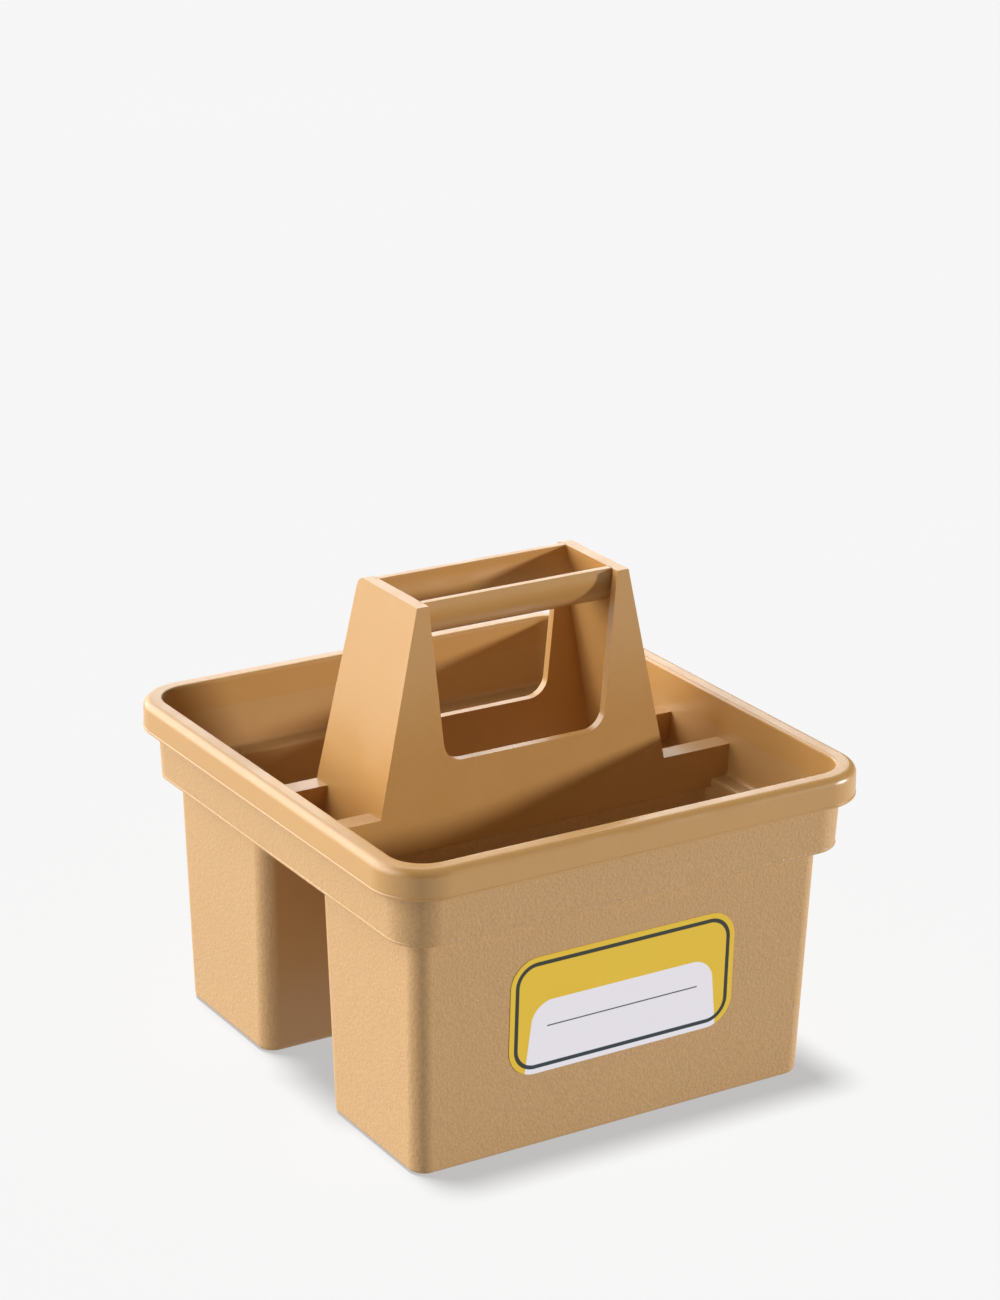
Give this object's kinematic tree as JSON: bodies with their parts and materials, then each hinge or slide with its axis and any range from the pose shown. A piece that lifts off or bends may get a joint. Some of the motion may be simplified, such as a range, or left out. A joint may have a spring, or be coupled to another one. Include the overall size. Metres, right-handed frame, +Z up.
{
  "type": "storage caddy",
  "caption": "Small open storage caddy with bins either side of a tunnel, a central carrying handle with finger windows, and a trough along the grip.",
  "frame": {"origin": "centre of the footprint, on the surface the caddy stands on", "axes": "+Z up, +X to the right along the labelled front face, +Y from the front bin towards the rear bin"},
  "size_m": [0.128, 0.134, 0.1184],
  "materials": {
    "grained_plastic": "fine moulded grain",
    "smooth_plastic": "smooth satin",
    "label_face": "printed and lightly coated adhesive label"
  },
  "bodies": {
    "root": {"front_bin": "grained_plastic", "rear_bin": "grained_plastic", "collar": "grained_plastic", "rim": "smooth_plastic", "handle_left_cheek": "smooth_plastic", "handle_right_cheek": "smooth_plastic", "handle_front_panel": "smooth_plastic", "handle_rear_panel": "smooth_plastic", "grip_tray": "smooth_plastic", "left_bridge": "smooth_plastic", "right_bridge": "smooth_plastic", "label": "label_face"}
  },
  "joints": []
}
